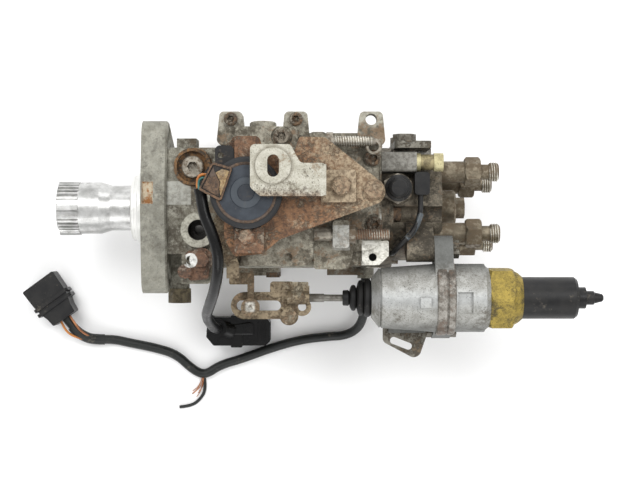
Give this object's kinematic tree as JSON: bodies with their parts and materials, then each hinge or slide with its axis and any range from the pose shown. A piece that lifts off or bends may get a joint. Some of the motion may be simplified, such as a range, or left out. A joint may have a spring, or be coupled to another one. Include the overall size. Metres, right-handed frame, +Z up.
{
  "type": "diesel injection pump",
  "caption": "Distributor diesel injection pump with splined shaft, governor cover, throttle sensor, thermostatic cold-start actuator, outlets at the head, and cables.",
  "frame": {"origin": "on the drive shaft axis, in the mounting face of the flange", "axes": "+X along the drive shaft from the drive end to the outlets, +Z up through the governor cover, +Y to the side with the three cover ears"},
  "size_m": [0.3835, 0.1977, 0.1663],
  "materials": {
    "cast_aluminium": "weathered casting",
    "machined_aluminium": "machined",
    "polished_steel": "ground",
    "dark_steel": "oiled",
    "plated_steel": "worn zinc plating",
    "rusty_steel": "rusted sheet",
    "head_iron": "machined, stained",
    "brass": "dull",
    "pale_washer": "passivated",
    "black_rubber": "matte",
    "black_plastic": "matte",
    "gloss_black": "glossy",
    "slate_plastic": "matte",
    "fibre_gasket": "matte"
  },
  "bodies": {
    "pump_body": {"pump_housing": "cast_aluminium", "governor_cover": "cast_aluminium", "cover_gasket": "fibre_gasket", "cover_screws": "dark_steel", "stop_screws": "rusty_steel", "timer_covers": "cast_aluminium", "timer_screws": "plated_steel", "side_bracket": "rusty_steel", "regulator_plug": "plated_steel", "shaft_seal": "black_rubber", "shaft_bush": "brass", "feed_pump_ring": "dark_steel", "governor_shaft": "polished_steel", "distributor_head": "head_iron", "head_screws": "dark_steel", "valve_holders": "head_iron", "head_plug": "head_iron", "return_fitting": "pale_washer", "cutoff_solenoid": "plated_steel", "solenoid_boot": "black_rubber", "solenoid_wire": "black_plastic", "rear_bracket": "plated_steel", "plunger_springs": "dark_steel", "sensor_plate": "rusty_steel", "slotted_bracket": "plated_steel", "bracket_fasteners": "rusty_steel", "sensor_housing": "black_plastic", "sensor_cap": "slate_plastic", "bellows": "black_rubber", "actuator_body": "cast_aluminium", "actuator_cylinder": "machined_aluminium", "actuator_bracket": "plated_steel", "thermo_nut": "brass", "thermo_element": "black_plastic", "sensor_cable": "gloss_black", "sensor_plug": "gloss_black", "harness_cable": "black_rubber", "harness_plug": "black_plastic", "loose_wires": "brass"},
    "drive": {"drive_shaft": "polished_steel", "feed_pump_rotor": "dark_steel", "drive_gear": "dark_steel", "cam_plate": "dark_steel", "plunger": "polished_steel"},
    "governor": {"governor_cage": "dark_steel"},
    "governor_sleeve": {"governor_sleeve": "polished_steel"},
    "governor_lever": {"governor_lever": "dark_steel"},
    "control_sleeve": {"control_sleeve": "polished_steel"},
    "timer_piston": {"timer_piston": "polished_steel"},
    "roller_ring": {"roller_ring": "dark_steel"},
    "throttle": {"throttle_shaft": "polished_steel", "throttle_lever": "rusty_steel"},
    "fast_idle": {"pull_rod": "polished_steel", "yoke": "rusty_steel"},
    "delivery_valve_1": {"delivery_valve_1": "polished_steel"},
    "delivery_valve_2": {"delivery_valve_2": "polished_steel"},
    "delivery_valve_3": {"delivery_valve_3": "polished_steel"},
    "delivery_valve_4": {"delivery_valve_4": "polished_steel"},
    "regulator_piston": {"regulator_piston": "polished_steel"},
    "solenoid_armature": {"solenoid_armature": "dark_steel"}
  },
  "joints": [
    {"name": "drive_spin", "type": "hinge", "parent": "pump_body", "child": "drive", "pos_m": [0, 0, 0], "axis": [1, 0, 0], "continuous": true},
    {"name": "governor_spin", "type": "hinge", "parent": "pump_body", "child": "governor", "pos_m": [0, 0, 0.0375], "axis": [1, 0, 0], "continuous": true},
    {"name": "governor_lever_pivot", "type": "hinge", "parent": "pump_body", "child": "governor_lever", "pos_m": [0.112, 0, 0.02], "axis": [0, 1, 0], "range_deg": [0, 13.2]},
    {"name": "governor_sleeve_slide", "type": "slide", "parent": "pump_body", "child": "governor_sleeve", "axis": [1, 0, 0], "range_m": [0, 0.00402], "stiffness_N_per_m": 330, "springref_m": -0.005},
    {"name": "control_sleeve_slide", "type": "slide", "parent": "pump_body", "child": "control_sleeve", "axis": [1, 0, 0], "range_m": [-0.0024, 0]},
    {"name": "timer_piston_slide", "type": "slide", "parent": "pump_body", "child": "timer_piston", "axis": [0, 1, 0], "range_m": [0, 0.0095], "stiffness_N_per_m": 2000, "springref_m": -0.005},
    {"name": "roller_ring_turn", "type": "hinge", "parent": "pump_body", "child": "roller_ring", "pos_m": [0, 0, 0], "axis": [1, 0, 0], "range_deg": [0, 12.4]},
    {"name": "throttle_turn", "type": "hinge", "parent": "pump_body", "child": "throttle", "pos_m": [0.0696, 0.007, 0], "axis": [0, 0, 1], "range_deg": [0, 13], "stiffness_Nm_per_rad": 0.3, "springref_deg": -28.65},
    {"name": "fast_idle_slide", "type": "slide", "parent": "pump_body", "child": "fast_idle", "axis": [1, 0, 0], "range_m": [0, 0.006], "stiffness_N_per_m": 1500, "springref_m": -0.01, "deforming": ["bellows"]},
    {"name": "delivery_valve_1_slide", "type": "slide", "parent": "pump_body", "child": "delivery_valve_1", "axis": [1, 0, 0], "range_m": [0, 0.0025], "stiffness_N_per_m": 1500, "springref_m": -0.003},
    {"name": "delivery_valve_2_slide", "type": "slide", "parent": "pump_body", "child": "delivery_valve_2", "axis": [1, 0, 0], "range_m": [0, 0.0025], "stiffness_N_per_m": 1500, "springref_m": -0.003},
    {"name": "delivery_valve_3_slide", "type": "slide", "parent": "pump_body", "child": "delivery_valve_3", "axis": [1, 0, 0], "range_m": [0, 0.0025], "stiffness_N_per_m": 1500, "springref_m": -0.003},
    {"name": "delivery_valve_4_slide", "type": "slide", "parent": "pump_body", "child": "delivery_valve_4", "axis": [1, 0, 0], "range_m": [0, 0.0025], "stiffness_N_per_m": 1500, "springref_m": -0.003},
    {"name": "regulator_slide", "type": "slide", "parent": "pump_body", "child": "regulator_piston", "axis": [0, 0, 1], "range_m": [0, 0.0012], "stiffness_N_per_m": 1500, "springref_m": -0.002},
    {"name": "armature_slide", "type": "slide", "parent": "pump_body", "child": "solenoid_armature", "axis": [0, 0, 1], "range_m": [0, 0.002], "stiffness_N_per_m": 800, "springref_m": -0.004}
  ],
  "couplings": [
    {"joint": "governor_spin", "follows": "drive_spin", "ratio": -1.5},
    {"joint": "governor_lever_pivot", "follows": "governor_sleeve_slide", "rad_per_m": 57.143},
    {"joint": "control_sleeve_slide", "follows": "governor_sleeve_slide", "ratio": -0.5714},
    {"joint": "roller_ring_turn", "follows": "timer_piston_slide", "rad_per_m": 22.7}
  ]
}
